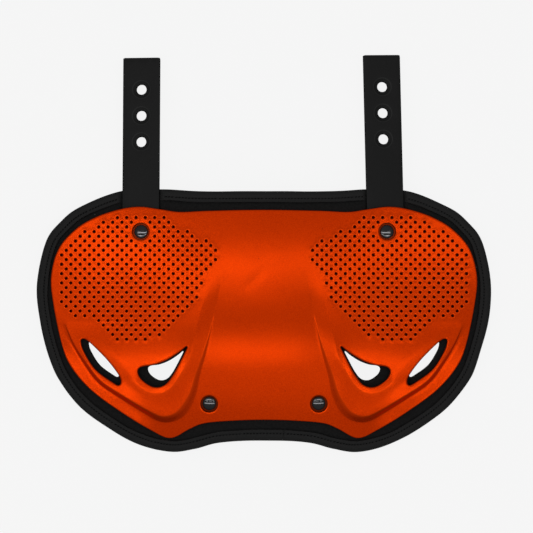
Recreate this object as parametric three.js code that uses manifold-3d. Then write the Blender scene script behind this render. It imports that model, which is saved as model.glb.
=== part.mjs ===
// Football back plate: a moulded plastic shell on a foam pad with a bound edge, hung on two flexible straps.
// It lies on its pad. X is its width, +Y runs up the straps and +Z points away from the wearer's back.
import * as THREE from "three";
import { mergeVertices } from "three/addons/utils/BufferGeometryUtils.js";
import Module from "manifold-3d";

const wasm = await Module();
wasm.setup();

// Driving dimensions, in millimetres and degrees.
const GAP = 0.3; // clearance between neighbouring pieces
const SHELL_THICKNESS = 3;
const PAD_THICKNESS = 12;
const WIDTH_RADIUS = 680; // bend of the plate across its width
const UPPER_RADIUS = 600; // bend of the plate from its crown up to the straps
const LOWER_RADIUS = 330; // bend of the plate from its crown down to its lower edge
const CROWN_Y = 10; // height of the line along which the plate stands furthest out
const SLAB = { width: 344, height: 204, columns: 14, rows: 10 }; // sheet that the curved pieces are cut from
const OUTLINE_STEPS = 2; // straight edges in each span of an outline

// Right half of the pad's outline over its binding, from the middle of the top to the middle of the bottom.
const PAD_HALF = [
  { x: 0, y: 94.9 },
  { x: 46, y: 94.9 },
  { x: 75, y: 96.3 },
  { x: 104, y: 95 },
  { x: 133.5, y: 83.8 },
  { x: 148, y: 72.7 },
  { x: 159, y: 57.5 },
  { x: 165.2, y: 26.8 },
  { x: 162.6, y: -2 },
  { x: 155.2, y: -29 },
  { x: 148, y: -44.2 },
  { x: 133.5, y: -62.3 },
  { x: 112, y: -78.3 },
  { x: 90, y: -89.7 },
  { x: 67.5, y: -94.6 },
  { x: 50, y: -92.3 },
  { x: 32, y: -87.8 },
  { x: 0, y: -86.1 },
];

// Right half of the shell's outline, between the same two middles.
const SHELL_HALF = [
  { x: 0, y: 81.4 },
  { x: 40, y: 80.7 },
  { x: 61, y: 79.9 },
  { x: 75, y: 81.8 },
  { x: 90, y: 83.7 },
  { x: 104.4, y: 81.9 },
  { x: 121, y: 76.6 },
  { x: 136, y: 68 },
  { x: 149, y: 53.5 },
  { x: 154.6, y: 34 },
  { x: 153.3, y: 14.5 },
  { x: 147.3, y: -14.5 },
  { x: 140.5, y: -31.9 },
  { x: 125.7, y: -49.3 },
  { x: 104, y: -65.3 },
  { x: 82.7, y: -78.3 },
  { x: 68, y: -84.4 },
  { x: 53.7, y: -77.6 },
  { x: 43, y: -73.5 },
  { x: 22, y: -71.6 },
  { x: 0, y: -71 },
];

// Vents of the left wing, as seen on the shell. The right wing has their mirror images.
const OUTER_VENT = [
  { x: -131.6, y: -12.2 },
  { x: -127, y: -14.3 },
  { x: -114.2, y: -26.8 },
  { x: -105.3, y: -38.4 },
  { x: -103.7, y: -43.6 },
  { x: -105.2, y: -45.8 },
  { x: -109.2, y: -44 },
  { x: -122, y: -34.5 },
  { x: -130.3, y: -21.8 },
  { x: -132.7, y: -14.6 },
];
const INNER_VENT = [
  { x: -55.4, y: -17.3 },
  { x: -61.6, y: -21.9 },
  { x: -70, y: -27.2 },
  { x: -79.5, y: -30.9 },
  { x: -88.6, y: -32.4 },
  { x: -91.4, y: -35.8 },
  { x: -88.6, y: -41.6 },
  { x: -80.5, y: -46.8 },
  { x: -72.6, y: -45.8 },
  { x: -66.2, y: -38.6 },
  { x: -59, y: -25.4 },
];
// The pad's cut behind a vent is smaller than the shell's and lies further in and up.
const VENTS = [
  { rows: OUTER_VENT, padScale: 0.76, padInward: 2, padUp: 1.8 },
  { rows: INNER_VENT, padScale: 0.72, padInward: 1.8, padUp: 0.8 },
];
const VENT_STEPS = 16; // straight edges round a vent

// Ribs across the left wing's raised plateau, from the perforated field down to the tip of its V and the foot
// of that tip.
const WING_RIBS = [
  { outerX: -145.3, outerY: 0.9, outerRaise: -0.4, innerX: -35, innerY: 11.9, innerRaise: -0.4 },
  { outerX: -138.7, outerY: -14, outerRaise: 1.2, innerX: -38.9, innerY: -6, innerRaise: 0.3 },
  { outerX: -130, outerY: -28, outerRaise: 2.3, innerX: -44.6, innerY: -21.5, innerRaise: 0.9 },
  { outerX: -119, outerY: -42.2, outerRaise: 3.1, innerX: -50, innerY: -36.6, innerRaise: 1.8 },
  { outerX: -104, outerY: -52.4, outerRaise: 3.7, innerX: -55, innerY: -51.5, innerRaise: 2.8 },
  { outerX: -85, outerY: -63.4, outerRaise: 4.3, innerX: -60.6, innerY: -62.6, innerRaise: 3.8 },
  { outerX: -74, outerY: -68.2, outerRaise: 4.6, innerX: -65.6, innerY: -68, innerRaise: 4.5 },
  { outerX: -72.4, outerY: -73.4, outerRaise: -0.4, innerX: -67.6, innerY: -73.4, innerRaise: -0.4 },
];
const WING_SPANS = 4; // flat strips across a wing
const WALL_RUN = 1.05; // how far a wing's wall runs out for each millimetre of its height
const WALL_SINK = 1.2; // how far the foot of that wall is sunk into the plate

// Screws: heads in recesses of the shell, shanks through shell and pad, flanges let into the pad's back.
const SCREWS = [
  { name: "screw_upper_left", x: -89.3, y: 65.6 },
  { name: "screw_upper_right", x: 89.3, y: 65.6 },
  { name: "screw_lower_left", x: -39.7, y: -59.3 },
  { name: "screw_lower_right", x: 39.7, y: -59.3 },
];
const RECESS_RADIUS = 6.35;
const RECESS_FLOOR = 1.2; // shell left under a screw head
const HEAD_RADIUS = 4.9;
const HEAD_HEIGHT = 0.55; // up to the head's shoulder
const HEAD_DOME = 0.9; // rise of the head's middle over its shoulder
const DOME_RINGS = [1, 0.7, 0.35, 0]; // shares of the head's radius at which its dome bends
const SHANK_RADIUS = 2.5;
const FLANGE_RADIUS = 8;
const FLANGE_THICKNESS = 1.5;
const ROUND_SIDES = 12;

// Straps, laid out from the upper screws. A shift moves a strap sideways on its screw, a lean turns its top
// to the left and a rise lengthens it.
const STRAPS = [
  { name: "strap_left", screw: SCREWS[0], shift: -0.3, lean: 0.1, rise: -1 },
  { name: "strap_right", screw: SCREWS[1], shift: -0.9, lean: 0.95, rise: 1 },
];
const STRAP_WIDTH = 27;
const STRAP_THICKNESS = 2.6;
const STRAP_DEPTH = 0.5; // how far a strap's front lies below the pad's face at the screw
const STRAP_TOP = 128; // from the screw to the free end
const STRAP_TAIL = 13; // from the screw to the hidden end
const STRAP_CORNER = 0.8;
const STRAP_HOLES = { count: 3, first: 66.5, pitch: 19.1, radius: 3.65, dishRadius: 6.4, dishDepth: 0.5 };

// Perforations: a lattice turned by 45 degrees that starts at the upper screw. One in eight is cut here.
const HALF_PITCH = 3.39;
const HOLE_RADIUS = 1.1;
const HOLE_SIDES = 4;
const HOLE_STRIDE = 4; // half pitches between the holes that are cut
const CLEAR_OF_SCREW = 2.5; // half pitches
const FIELD_REACH = 24; // half pitches from the screw that hold the whole field
// Border of the left field, in half pitches across and down from the screw.
const FIELD_BORDER = [
  { across: -5.4, down: -3.4 },
  { across: -14.3, down: 1 },
  { across: -17.5, down: 5 },
  { across: -17.5, down: 15.2 },
  { across: -14.5, down: 18.4 },
  { across: -9.8, down: 18.6 },
  { across: -5, down: 23.4 },
  { across: 1.8, down: 23.4 },
  { across: 4.8, down: 22 },
  { across: 12.6, down: 14 },
  { across: 13.5, down: 10 },
  { across: 16.3, down: 6 },
  { across: 16.8, down: 3.57 },
  { across: 4.6, down: -3.4 },
];

// Section of the folded binding: its distance in from the pad's outline and its height over the pad's face.
const BINDING_SECTION = [
  { inset: 1.7, height: -1.1 },
  { inset: 1.7, height: -10.9 },
  { inset: 8, height: -10.9 },
  { inset: 8, height: -12.4 },
  { inset: 5.2, height: -12.6 },
  { inset: 2, height: -12 },
  { inset: 0, height: -9 },
  { inset: 0, height: -3 },
  { inset: 2, height: 0.2 },
  { inset: 5.2, height: 1 },
  { inset: 8, height: 0.6 },
  { inset: 8, height: -1.1 },
];
const TONGUE = { inset: 2, top: -1.4, bottom: -10.4 }; // thinner rim of the pad that the binding grips
const CORE_INSET = 8.3; // where the pad reaches its full thickness

const CUT = 60; // reach of a tool that cuts right through the plate
const MERGE = 1e-4; // corners nearer than this are one corner
const UP = new THREE.Vector3(0, 0, 1);

// Height of the pad's face, the surface that the other pieces are laid out from.
function seat(x, y) {
  const rise = y - CROWN_Y;
  const radius = rise > 0 ? UPPER_RADIUS : LOWER_RADIUS;
  return -(x * x) / (2 * WIDTH_RADIUS) - (rise * rise) / (2 * radius);
}

// A place on the pad's face whose own Z is the direction of that face, turned there by an angle in degrees.
function placeOnSeat(x, y, turn = 0) {
  const rise = y - CROWN_Y;
  const slope = rise / (rise > 0 ? UPPER_RADIUS : LOWER_RADIUS);
  const outwards = new THREE.Vector3(x / WIDTH_RADIUS, slope, 1).normalize();
  const tilt = new THREE.Quaternion().setFromUnitVectors(UP, outwards);
  const spin = new THREE.Quaternion().setFromAxisAngle(UP, THREE.MathUtils.degToRad(turn));
  const point = new THREE.Vector3(x, y, seat(x, y));
  return new THREE.Matrix4().compose(point, tilt.multiply(spin), new THREE.Vector3(1, 1, 1));
}

// A geometry as a solid that can be joined and cut.
function solid(geometry) {
  const bare = geometry.clone();
  bare.deleteAttribute("normal");
  bare.deleteAttribute("uv");
  const merged = mergeVertices(bare, MERGE);
  const vertProperties = merged.getAttribute("position").array;
  const triVerts = Uint32Array.from(merged.index.array);
  return new wasm.Manifold(new wasm.Mesh({ numProp: 3, vertProperties, triVerts }));
}

// A solid as a named mesh.
function piece(name, made, material) {
  const { vertProperties, triVerts } = made.getMesh();
  const geometry = new THREE.BufferGeometry();
  geometry.setAttribute("position", new THREE.BufferAttribute(vertProperties, 3));
  geometry.setIndex(new THREE.BufferAttribute(triVerts, 1));
  geometry.computeVertexNormals();
  const mesh = new THREE.Mesh(geometry, material);
  mesh.name = name;
  return mesh;
}

// Points of a smooth closed line through the rows of a table.
function closedLine(rows, steps) {
  const points = rows.map(({ x, y }) => new THREE.Vector3(x, y, 0));
  return new THREE.CatmullRomCurve3(points, true, "catmullrom", 0.5).getPoints(steps).slice(0, -1);
}

// Points of an outline whose left half mirrors the rows of its right half.
function mirroredOutline(half) {
  const left = half.slice(1, -1).reverse().map(({ x, y }) => ({ x: -x, y }));
  const rows = [...half, ...left];
  return closedLine(rows, rows.length * OUTLINE_STEPS);
}

// The direction out of a clockwise closed line at one of its points.
function outwardAt(points, index) {
  const before = points[(index + points.length - 1) % points.length];
  const after = points[(index + 1) % points.length];
  return new THREE.Vector3(before.y - after.y, after.x - before.x, 0).normalize();
}

// A clockwise closed line moved inwards by a distance.
function insetLine(points, distance) {
  return points.map((point, index) => point.clone().addScaledVector(outwardAt(points, index), -distance));
}

// An upright prism over a closed line.
function prism(points, low, high) {
  const shape = new THREE.Shape(points.map(({ x, y }) => new THREE.Vector2(x, y)));
  const geometry = new THREE.ExtrudeGeometry(shape, { depth: high - low, bevelEnabled: false });
  return solid(geometry.translate(0, 0, low));
}

// A curved sheet between two heights over the pad's face.
function slab(low, high) {
  const geometry = new THREE.BoxGeometry(SLAB.width, SLAB.height, 1, SLAB.columns, SLAB.rows, 1);
  const corners = geometry.getAttribute("position");
  for (let i = 0; i < corners.count; i += 1) {
    const height = corners.getZ(i) > 0 ? high : low;
    corners.setZ(i, seat(corners.getX(i), corners.getY(i)) + height);
  }
  return solid(geometry);
}

// A closed skin over sections with equal numbers of points: a ring of sections, or a row whose end sections,
// strips there and back, are zipped up.
function loft(sections, isRing) {
  const around = sections[0].length;
  const vertices = sections.flat().flatMap((point) => point.toArray());
  const triangles = [];
  const lastSpan = isRing ? sections.length : sections.length - 1;
  for (let span = 0; span < lastSpan; span += 1) {
    const here = span * around;
    const next = ((span + 1) % sections.length) * around;
    for (let i = 0; i < around; i += 1) {
      const j = (i + 1) % around;
      triangles.push(here + i, here + j, next + j, here + i, next + j, next + i);
    }
  }
  if (!isRing) {
    const end = (sections.length - 1) * around;
    for (let i = 0; i < around / 2 - 1; i += 1) {
      const far = around - 1 - i;
      triangles.push(i, far, far - 1, i, far - 1, i + 1);
      triangles.push(end + i, end + far - 1, end + far, end + i, end + i + 1, end + far - 1);
    }
  }
  const geometry = new THREE.BufferGeometry();
  geometry.setAttribute("position", new THREE.Float32BufferAttribute(vertices, 3));
  geometry.setIndex(triangles);
  return solid(geometry);
}

// A round tool square to the pad's face, between two heights over it.
function post(matrix, radius, low, high, sides = ROUND_SIDES) {
  const geometry = new THREE.CylinderGeometry(radius, radius, high - low, sides);
  geometry.rotateX(Math.PI / 2).translate(0, 0, (low + high) / 2);
  return solid(geometry.applyMatrix4(matrix));
}

// A vent's outline on one side of the plate, -1 for left and 1 for right.
function ventLine({ rows }, side) {
  const points = closedLine(rows, VENT_STEPS);
  return points.map(({ x, y }) => new THREE.Vector3(-side * x, y, 0));
}

// The same vent where it goes through the pad.
function padVentLine(vent, side) {
  const points = ventLine(vent, side);
  const sum = points.reduce((total, point) => total.add(point), new THREE.Vector3());
  const middle = sum.divideScalar(points.length);
  const padMiddle = new THREE.Vector3(-side * vent.padInward, vent.padUp, 0).add(middle);
  return points.map((point) => point.clone().sub(middle).multiplyScalar(vent.padScale).add(padMiddle));
}

// One wing's raised plateau with its sloping walls, standing on a level over the pad's face. Its edge runs
// anticlockwise down the outer side and up the inner one, so its walls run out the other way.
function wing(side, level, bottom) {
  const edge = [
    ...WING_RIBS.map(({ outerX, outerY }) => new THREE.Vector3(outerX, outerY, 0)),
    ...WING_RIBS.map(({ innerX, innerY }) => new THREE.Vector3(innerX, innerY, 0)).reverse(),
  ];
  const onPlate = ({ x, y }, height) => new THREE.Vector3(-side * x, y, seat(x, y) + height);
  const footOf = (index, raise) => {
    const run = (Math.max(raise, 0) + WALL_SINK) * WALL_RUN;
    return edge[index].clone().addScaledVector(outwardAt(edge, index), -run);
  };
  const sections = WING_RIBS.map((rib, index) => {
    const outer = edge[index];
    const innerIndex = edge.length - 1 - index;
    const inner = edge[innerIndex];
    const outerFoot = footOf(index, rib.outerRaise);
    const innerFoot = footOf(innerIndex, rib.innerRaise);
    const strips = Array.from({ length: WING_SPANS + 1 }, (_, strip) => strip / WING_SPANS);
    const top = strips.map((part) => {
      const raise = THREE.MathUtils.lerp(rib.outerRaise, rib.innerRaise, part);
      return onPlate(outer.clone().lerp(inner, part), level + raise);
    });
    const under = strips.map((part) => onPlate(innerFoot.clone().lerp(outerFoot, part), bottom));
    const foot = level - WALL_SINK;
    return [onPlate(outerFoot, foot), ...top, onPlate(innerFoot, foot), ...under];
  });
  return loft(side < 0 ? sections.reverse() : sections, false);
}

// Centres of the perforations on one side of the plate.
function perforations(side) {
  const border = FIELD_BORDER.map(({ across, down }) => new THREE.Vector2(across, down));
  const [screw] = SCREWS;
  const centres = [];
  for (let down = -FIELD_REACH; down <= FIELD_REACH; down += HOLE_STRIDE) {
    for (let across = -FIELD_REACH; across <= FIELD_REACH; across += HOLE_STRIDE) {
      const isClear = Math.hypot(across, down) > CLEAR_OF_SCREW;
      if (isClear && isInside(border, across, down)) {
        centres.push({ x: -side * (screw.x + across * HALF_PITCH), y: screw.y - down * HALF_PITCH });
      }
    }
  }
  return centres;
}

// Whether a point lies inside a closed line: a ray to its right crosses the line an odd number of times.
function isInside(line, x, y) {
  return line.reduce((inside, a, index) => {
    const b = line[(index + 1) % line.length];
    const crosses = a.y > y !== b.y > y && x < a.x + ((b.x - a.x) * (y - a.y)) / (b.y - a.y);
    return crosses ? !inside : inside;
  }, false);
}

function makeShell(material) {
  const front = GAP + SHELL_THICKNESS;
  let shell = slab(GAP, front).intersect(prism(mirroredOutline(SHELL_HALF), -CUT, CUT));
  // The wings are pressed out of the sheet, so each is hollow underneath.
  for (const side of [-1, 1]) {
    shell = shell.add(wing(side, front, front / 2)).subtract(wing(side, GAP, -front));
    for (const vent of VENTS) {
      shell = shell.subtract(prism(ventLine(vent, side), -CUT, CUT));
    }
    for (const { x, y } of perforations(side)) {
      shell = shell.subtract(post(placeOnSeat(x, y), HOLE_RADIUS, -CUT, CUT, HOLE_SIDES));
    }
  }
  for (const { x, y } of SCREWS) {
    const place = placeOnSeat(x, y);
    shell = shell.subtract(post(place, RECESS_RADIUS, GAP + RECESS_FLOOR, CUT));
    shell = shell.subtract(post(place, SHANK_RADIUS + GAP, -CUT, CUT));
  }
  return piece("shell", shell, material);
}

// The groove that a strap presses into the pad and its binding.
function strapGroove({ screw, shift, lean }) {
  const bottom = -STRAP_DEPTH - STRAP_THICKNESS - GAP;
  const tail = STRAP_TAIL + GAP;
  const geometry = new THREE.BoxGeometry(STRAP_WIDTH + 2 * GAP, STRAP_TOP + tail, CUT);
  geometry.translate(shift, (STRAP_TOP - tail) / 2, bottom + CUT / 2);
  return solid(geometry.applyMatrix4(placeOnSeat(screw.x, screw.y, lean)));
}

function makePad(material) {
  const outline = mirroredOutline(PAD_HALF);
  const tongueCutter = prism(insetLine(outline, TONGUE.inset), -CUT, CUT);
  const tongue = slab(TONGUE.bottom, TONGUE.top).intersect(tongueCutter);
  const coreCutter = prism(insetLine(outline, CORE_INSET), -CUT, CUT);
  const core = slab(-PAD_THICKNESS, 0).intersect(coreCutter);
  let pad = core.add(tongue);
  for (const side of [-1, 1]) {
    for (const vent of VENTS) {
      pad = pad.subtract(prism(padVentLine(vent, side), -CUT, CUT));
    }
  }
  for (const { x, y } of SCREWS) {
    const place = placeOnSeat(x, y);
    const pocket = FLANGE_THICKNESS + 2 * GAP - PAD_THICKNESS;
    pad = pad.subtract(post(place, SHANK_RADIUS + GAP, -CUT, CUT));
    pad = pad.subtract(post(place, FLANGE_RADIUS + GAP, -CUT, pocket));
  }
  for (const strap of STRAPS) {
    pad = pad.subtract(strapGroove(strap));
  }
  return piece("foam_pad", pad, material);
}

function makeBinding(material) {
  const outline = mirroredOutline(PAD_HALF);
  const sections = outline.map((point, index) => {
    const outwards = outwardAt(outline, index);
    return BINDING_SECTION.map(({ inset, height }) => {
      const corner = point.clone().addScaledVector(outwards, -inset);
      return corner.setZ(seat(corner.x, corner.y) + height);
    });
  });
  const binding = STRAPS.reduce((made, strap) => made.subtract(strapGroove(strap)), loft(sections, true));
  return piece("edge_binding", binding, material);
}

function makeStrap({ name, screw, shift, lean, rise }, material) {
  const left = shift - STRAP_WIDTH / 2 + STRAP_CORNER;
  const right = shift + STRAP_WIDTH / 2 - STRAP_CORNER;
  const top = STRAP_TOP + rise - STRAP_CORNER;
  const bottom = STRAP_CORNER - STRAP_TAIL;
  const shape = new THREE.Shape();
  shape.absarc(right, top, STRAP_CORNER, 0, Math.PI / 2);
  shape.absarc(left, top, STRAP_CORNER, Math.PI / 2, Math.PI);
  shape.absarc(left, bottom, STRAP_CORNER, Math.PI, 1.5 * Math.PI);
  shape.absarc(right, bottom, STRAP_CORNER, 1.5 * Math.PI, 2 * Math.PI);
  const flat = { depth: STRAP_THICKNESS, bevelEnabled: false, curveSegments: 3 };
  let strap = solid(new THREE.ExtrudeGeometry(shape, flat));
  const { count, first, pitch, radius, dishRadius, dishDepth } = STRAP_HOLES;
  for (let hole = 0; hole < count; hole += 1) {
    const spot = new THREE.Matrix4().makeTranslation(shift, first + hole * pitch + rise, 0);
    strap = strap.subtract(post(spot, dishRadius, STRAP_THICKNESS - dishDepth, CUT));
    strap = strap.subtract(post(spot, radius, -CUT, CUT));
  }
  const bore = post(new THREE.Matrix4(), SHANK_RADIUS + GAP, -CUT, CUT);
  const mesh = piece(name, strap.subtract(bore), material);
  mesh.position.z = -STRAP_DEPTH - STRAP_THICKNESS;
  const place = new THREE.Group().add(mesh);
  place.applyMatrix4(placeOnSeat(screw.x, screw.y, lean));
  return place;
}

function makeScrew({ name, x, y }, material) {
  const seatOfHead = GAP + RECESS_FLOOR + GAP;
  const shoulder = seatOfHead + HEAD_HEIGHT;
  const back = GAP - PAD_THICKNESS;
  const dome = DOME_RINGS.map((share) => ({
    radius: HEAD_RADIUS * share,
    height: shoulder + HEAD_DOME * (1 - share * share),
  }));
  const profile = [
    { radius: 0, height: back },
    { radius: FLANGE_RADIUS, height: back },
    { radius: FLANGE_RADIUS, height: back + FLANGE_THICKNESS },
    { radius: SHANK_RADIUS, height: back + FLANGE_THICKNESS },
    { radius: SHANK_RADIUS, height: seatOfHead },
    { radius: HEAD_RADIUS, height: seatOfHead },
    ...dome,
  ];
  const points = profile.map(({ radius, height }) => new THREE.Vector2(radius, height));
  const turned = new THREE.LatheGeometry(points, ROUND_SIDES).rotateX(Math.PI / 2);
  const place = new THREE.Group().add(piece(name, solid(turned), material));
  place.applyMatrix4(placeOnSeat(x, y));
  return place;
}

const plastic = new THREE.MeshStandardMaterial({ color: 0xe03c00, roughness: 0.35, metalness: 0 });
const foam = new THREE.MeshStandardMaterial({ color: 0x1a1a1a, roughness: 0.9, metalness: 0 });
const tape = new THREE.MeshStandardMaterial({ color: 0x252525, roughness: 0.7, metalness: 0 });
const rubber = new THREE.MeshStandardMaterial({ color: 0x202020, roughness: 0.55, metalness: 0 });
const steel = new THREE.MeshStandardMaterial({ color: 0x1c1c1c, roughness: 0.4, metalness: 0.6 });

const plate = new THREE.Group();
plate.add(makeShell(plastic), makePad(foam), makeBinding(tape));
plate.add(...STRAPS.map((strap) => makeStrap(strap, rubber)));
plate.add(...SCREWS.map((screw) => makeScrew(screw, steel)));

// The origin is under the middle of the whole object, at the level that it rests on.
const box = new THREE.Box3().setFromObject(plate, true);
const middle = box.getCenter(new THREE.Vector3());
plate.position.set(-middle.x, -middle.y, -box.min.z);

const backPlate = new THREE.Group();
backPlate.name = "football_back_plate";
backPlate.add(plate);

export default backPlate;
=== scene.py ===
# %% [markdown]
# # A football back plate
# This lesson dresses a back plate for football shoulder pads: a satin orange shell, moulded in plastic,
# on a black foam pad with a sewn edge, hung on two flexible straps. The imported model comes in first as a
# fixed frame, because it already says where each piece is. Everything made here is laid over it.

# %% Load the frame
import functools
import math

import bmesh
import bpy
from mathutils import Matrix, Quaternion, Vector, kdtree, noise
from mathutils.geometry import delaunay_2d_cdt


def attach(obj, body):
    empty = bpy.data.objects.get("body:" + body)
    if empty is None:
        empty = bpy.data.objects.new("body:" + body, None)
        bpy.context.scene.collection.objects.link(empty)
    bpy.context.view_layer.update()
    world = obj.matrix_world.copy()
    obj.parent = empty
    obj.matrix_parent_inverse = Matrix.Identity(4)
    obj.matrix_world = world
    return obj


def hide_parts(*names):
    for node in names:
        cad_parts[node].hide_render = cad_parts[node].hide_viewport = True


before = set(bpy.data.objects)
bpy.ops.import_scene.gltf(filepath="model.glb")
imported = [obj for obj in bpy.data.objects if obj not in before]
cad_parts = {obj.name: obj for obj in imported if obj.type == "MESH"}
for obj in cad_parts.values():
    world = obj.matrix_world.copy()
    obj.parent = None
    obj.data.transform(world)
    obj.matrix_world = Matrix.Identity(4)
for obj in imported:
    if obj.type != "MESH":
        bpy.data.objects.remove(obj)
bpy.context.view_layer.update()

print("frame:", sorted(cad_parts))

# %% [markdown]
# ## One curved surface for all pieces
# Shell, pad and tape all follow the wearer's back, so they share one surface: the pad's face. It bends
# gently across the width and more strongly towards the lower edge. Each piece is drawn flat, in
# millimetres round the plate's own centre, and is then pressed onto this surface. A flat drawing is far
# easier to cut than a curved one, and pressing it afterwards is also how such a shell is really formed.

# %% The pad's face
PLATE_CENTRE = Vector((0, -49.761, 32.455))
TO_FRAME = Matrix.Scale(0.001, 4) @ Matrix.Translation(PLATE_CENTRE)
WIDTH_RADIUS = 680
UPPER_RADIUS = 600
LOWER_RADIUS = 330
CROWN_Y = 10
UP = Vector((0, 0, 1))


def seat(x, y):
    """Height of the pad's face."""
    rise = y - CROWN_Y
    radius = UPPER_RADIUS if rise > 0 else LOWER_RADIUS
    return -x * x / (2 * WIDTH_RADIUS) - rise * rise / (2 * radius)


def on_seat(x, y, turn=0):
    """A place on the pad's face whose own Z points straight out of it, turned by some degrees."""
    rise = y - CROWN_Y
    slope = rise / (UPPER_RADIUS if rise > 0 else LOWER_RADIUS)
    outwards = Vector((x / WIDTH_RADIUS, slope, 1)).normalized()
    spin = Quaternion(UP, math.radians(turn))
    turned = UP.rotation_difference(outwards) @ spin
    return Matrix.Translation((x, y, seat(x, y))) @ turned.to_matrix().to_4x4()


def ease(value, low, high):
    """Runs smoothly from 0 at low to 1 at high."""
    part = min(max((value - low) / (high - low), 0), 1)
    return part * part * (3 - 2 * part)


def ramp(value, round_by):
    """0 below zero and the value itself above, with the corner between them rounded."""
    if value < -round_by:
        return 0
    if value > round_by:
        return value
    return (value + round_by) ** 2 / (4 * round_by)


print("pad's face drops", round(-seat(160, 30), 1), "mm at the sides and", round(-seat(0, -86), 1), "below")

# %% [markdown]
# ## Smooth outlines from a few points
# The outlines are drawn by a few points each, with a smooth line through them. Blender's curve objects
# could do that too, but a small function keeps the points at hand for offsets, stitches and fills. The
# same kind of line was used for the solids, so the new pieces match them.

# %% Lines through points
def smooth_line(rows, steps, closed=True):
    """Points of a smooth line through the rows."""
    count = len(rows)
    made = []
    for i in range(count if closed else count - 1):
        if closed:
            a, b, c, d = (Vector(rows[(i + k) % count]) for k in (-1, 0, 1, 2))
        else:
            a, b, c, d = (Vector(rows[min(max(i + k, 0), count - 1)]) for k in (-1, 0, 1, 2))
        for step in range(steps):
            t = step / steps
            bend = (2 * a - 5 * b + 4 * c - d) * t * t + (3 * b - a - 3 * c + d) * t**3
            made.append(0.5 * (2 * b + (c - a) * t + bend))
    if not closed:
        made.append(Vector(rows[-1]))
    return made


def even_line(points, spacing, closed=True):
    """The same line with evenly spaced points."""
    track = points + points[:1] if closed else points
    lengths = [(b - a).length for a, b in zip(track, track[1:])]
    total = sum(lengths)
    count = max(3, round(total / spacing))
    made, done, i = [], 0.0, 0
    for k in range(count if closed else count + 1):
        goal = total * k / count
        while i < len(lengths) - 1 and done + lengths[i] < goal:
            done += lengths[i]
            i += 1
        made.append(track[i].lerp(track[i + 1], min((goal - done) / lengths[i], 1)))
    return made


def mirrored(half):
    """A whole clockwise outline from the rows of its right half."""
    return list(half) + [(-x, y) for x, y in reversed(half[1:-1])]


def outward(points, i):
    """The direction out of a clockwise closed line at one of its points."""
    before, after = points[i - 1], points[(i + 1) % len(points)]
    return Vector((before.y - after.y, after.x - before.x)).normalized()


def inset(points, distance):
    """A clockwise closed line moved inwards."""
    return [p - outward(points, i) * distance for i, p in enumerate(points)]


def is_inside(line, x, y):
    """Whether a point lies inside a closed line."""
    inside = False
    for a, b in zip(line, line[1:] + line[:1]):
        if (a.y > y) != (b.y > y) and x < a.x + (b.x - a.x) * (y - a.y) / (b.y - a.y):
            inside = not inside
    return inside


PAD_HALF = (
    (0, 94.9), (46, 94.9), (75, 96.3), (104, 95), (133.5, 83.8), (148, 72.7), (159, 57.5), (165.2, 26.8),
    (162.6, -2), (155.2, -29), (148, -44.2), (133.5, -62.3), (112, -78.3), (90, -89.7), (67.5, -94.6),
    (50, -92.3), (32, -87.8), (0, -86.1),
)
SHELL_HALF = (
    (0, 81.4), (40, 80.7), (61, 79.9), (75, 81.8), (90, 83.7), (104.4, 81.9), (121, 76.6), (136, 68),
    (149, 53.5), (154.6, 34), (153.3, 14.5), (147.3, -14.5), (140.5, -31.9), (125.7, -49.3), (104, -65.3),
    (82.7, -78.3), (68, -84.4), (53.7, -77.6), (43, -73.5), (22, -71.6), (0, -71),
)
pad_outline = even_line(smooth_line(mirrored(PAD_HALF), 12), 2)
shell_outline = even_line(smooth_line(mirrored(SHELL_HALF), 12), 2)
print("outline points:", len(pad_outline), "for the pad and", len(shell_outline), "for the shell")

# %% [markdown]
# ## Cutting a sheet
# A sheet is cut from its outline, its holes and the lines along which it will bend. Cutting holes with
# booleans leaves long thin faces that shade badly on a glossy surface. Here the holes are part of the
# drawing: a constrained triangulation fills the space between all lines, with evenly spread points in
# the open areas. Solidify gives the flat sheet its second side, and then both sides are pressed.

# %% The sheet cutter
FILL_CLEARANCE = 0.6
DEEP_DROP = 1


def hoop(x, y, radius, sides):
    """A clockwise ring of points."""
    turns = [-math.tau * k / sides for k in range(sides)]
    return [Vector((x + radius * math.cos(turn), y + radius * math.sin(turn))) for turn in turns]


def fill_points(drawn, hollows, spacing, rim):
    """Evenly spread points inside the rim, clear of the drawn points and out of the hollows."""
    near = kdtree.KDTree(len(drawn))
    for index, point in enumerate(drawn):
        near.insert(point.to_3d(), index)
    near.balance()
    low = [min(p[axis] for p in rim) for axis in (0, 1)]
    high = [max(p[axis] for p in rim) for axis in (0, 1)]
    row_height = spacing * math.sqrt(0.75)
    made = []
    for row in range(int((high[1] - low[1]) / row_height) + 1):
        for column in range(int((high[0] - low[0]) / spacing) + 1):
            spot = Vector((low[0] + (column + row % 2 / 2) * spacing, low[1] + row * row_height))
            if near.find(spot.to_3d())[2] < FILL_CLEARANCE * spacing or not is_inside(rim, *spot):
                continue
            if not any(is_inside(line, *spot) for line in hollows):
                made.append(spot)
    return made


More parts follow.
